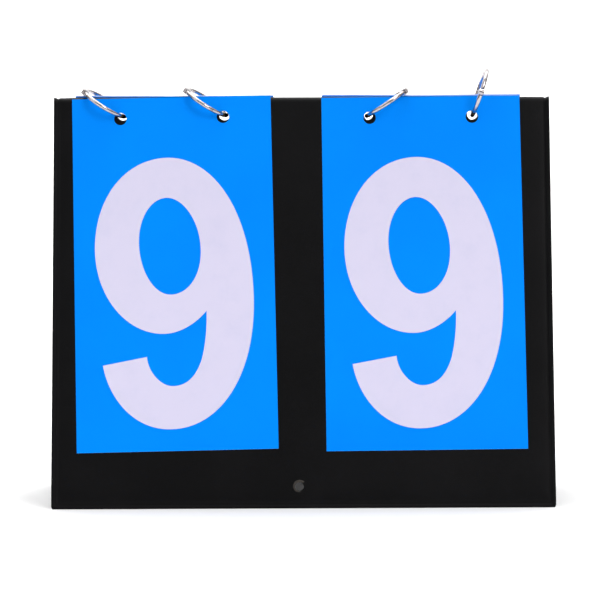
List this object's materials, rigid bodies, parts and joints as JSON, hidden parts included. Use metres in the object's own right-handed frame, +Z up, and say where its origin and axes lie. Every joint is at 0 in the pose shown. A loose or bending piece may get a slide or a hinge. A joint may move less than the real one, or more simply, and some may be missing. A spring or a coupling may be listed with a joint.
{
  "type": "flip scoreboard",
  "caption": "Folding tabletop flip scoreboard: two vinyl-covered boards joined along the top, with blue number cards hung on metal book rings.",
  "frame": {"origin": "middle of the footprint, on the table", "axes": "+Z up, +X to the viewer's right, the front board faces -Y"},
  "size_m": [0.23, 0.0892, 0.1995],
  "materials": {
    "chipboard": "grey-brown pressed board",
    "black_vinyl": "fine-grained matt vinyl",
    "black_lining": "plain matt vinyl",
    "ring_chrome": "bright nickel plate",
    "pin_steel": "riveted steel",
    "blue_card": "semi-gloss blue sheet with a white edge"
  },
  "bodies": {
    "front_panel": {"front_core": "chipboard", "front_skin": "black_vinyl", "front_lining": "black_lining", "fold_strip": "black_vinyl"},
    "rear_panel": {"rear_core": "chipboard", "rear_skin": "black_vinyl", "rear_lining": "black_lining"},
    "ring_1": {"ring_1_lower": "ring_chrome", "ring_1_pin": "pin_steel"},
    "ring_1_gate": {"ring_1_gate": "ring_chrome"},
    "ring_2": {"ring_2_lower": "ring_chrome", "ring_2_pin": "pin_steel"},
    "ring_2_gate": {"ring_2_gate": "ring_chrome"},
    "ring_3": {"ring_3_lower": "ring_chrome", "ring_3_pin": "pin_steel"},
    "ring_3_gate": {"ring_3_gate": "ring_chrome"},
    "ring_4": {"ring_4_lower": "ring_chrome", "ring_4_pin": "pin_steel"},
    "ring_4_gate": {"ring_4_gate": "ring_chrome"},
    "left_front_card": {"left_card_9": "blue_card"},
    "left_flipped_cards": {"left_card_0": "blue_card", "left_card_1": "blue_card", "left_card_2": "blue_card", "left_card_3": "blue_card", "left_card_4": "blue_card", "left_card_5": "blue_card", "left_card_6": "blue_card", "left_card_7": "blue_card", "left_card_8": "blue_card"},
    "right_front_card": {"right_card_9": "blue_card"},
    "right_flipped_cards": {"right_card_0": "blue_card", "right_card_1": "blue_card", "right_card_2": "blue_card", "right_card_3": "blue_card", "right_card_4": "blue_card", "right_card_5": "blue_card", "right_card_6": "blue_card", "right_card_7": "blue_card", "right_card_8": "blue_card"}
  },
  "joints": [
    {"name": "rear_panel_fold", "type": "hinge", "parent": "front_panel", "child": "rear_panel", "pos_m": [0, 0, 0.18332], "axis": [-1, 0, 0], "range_deg": [0, 26]},
    {"name": "ring_1_lean", "type": "hinge", "parent": "front_panel", "child": "ring_1", "pos_m": [-0.0828, 0, 0.17757], "axis": [0.2419, 0.9703, 0], "range_deg": [0, 10]},
    {"name": "ring_1_gate_open", "type": "hinge", "parent": "ring_1", "child": "ring_1_gate", "pos_m": [-0.10053, -0.00125, 0.18855], "axis": [0.5285, -0.1318, 0.8387], "range_deg": [0, 60]},
    {"name": "ring_2_lean", "type": "hinge", "parent": "front_panel", "child": "ring_2", "pos_m": [-0.0356, 0, 0.17807], "axis": [0.2419, 0.9703, 0], "range_deg": [0, 10]},
    {"name": "ring_2_gate_open", "type": "hinge", "parent": "ring_2", "child": "ring_2_gate", "pos_m": [-0.05333, -0.00125, 0.18905], "axis": [0.5285, -0.1318, 0.8387], "range_deg": [0, 60]},
    {"name": "ring_3_lean", "type": "hinge", "parent": "front_panel", "child": "ring_3", "pos_m": [0.0306, 0, 0.17762], "axis": [0, -1, 0], "range_deg": [0, 10]},
    {"name": "ring_3_gate_open", "type": "hinge", "parent": "ring_3", "child": "ring_3_gate", "pos_m": [0.0475, -0.0055, 0.1886], "axis": [0.5446, 0, -0.8387], "range_deg": [0, 60]},
    {"name": "ring_4_lean", "type": "hinge", "parent": "front_panel", "child": "ring_4", "pos_m": [0.0794, 0, 0.17792], "axis": [0, -1, 0], "range_deg": [0, 10]},
    {"name": "ring_4_gate_open", "type": "hinge", "parent": "ring_4", "child": "ring_4_gate", "pos_m": [0.0828, -0.01099, 0.18839], "axis": [0.9511, 0, -0.309], "range_deg": [0, 60]},
    {"name": "left_card_lift", "type": "hinge", "parent": "front_panel", "child": "left_front_card", "pos_m": [0, 0, 0.18332], "axis": [-1, 0, 0], "range_deg": [0, 10]},
    {"name": "right_card_lift", "type": "hinge", "parent": "front_panel", "child": "right_front_card", "pos_m": [0, 0, 0.18332], "axis": [-1, 0, 0], "range_deg": [0, 18]},
    {"name": "left_flipped_cards_ride", "type": "slide", "parent": "rear_panel", "child": "left_flipped_cards", "axis": [0, -0.225, 0.9744], "range_m": [0, 0.002]},
    {"name": "right_flipped_cards_ride", "type": "slide", "parent": "rear_panel", "child": "right_flipped_cards", "axis": [0, -0.225, 0.9744], "range_m": [0, 0.002]}
  ],
  "couplings": [
    {"joint": "left_flipped_cards_ride", "follows": "rear_panel_fold", "m_per_rad": 0.0044073},
    {"joint": "right_flipped_cards_ride", "follows": "rear_panel_fold", "m_per_rad": 0.0044073}
  ]
}
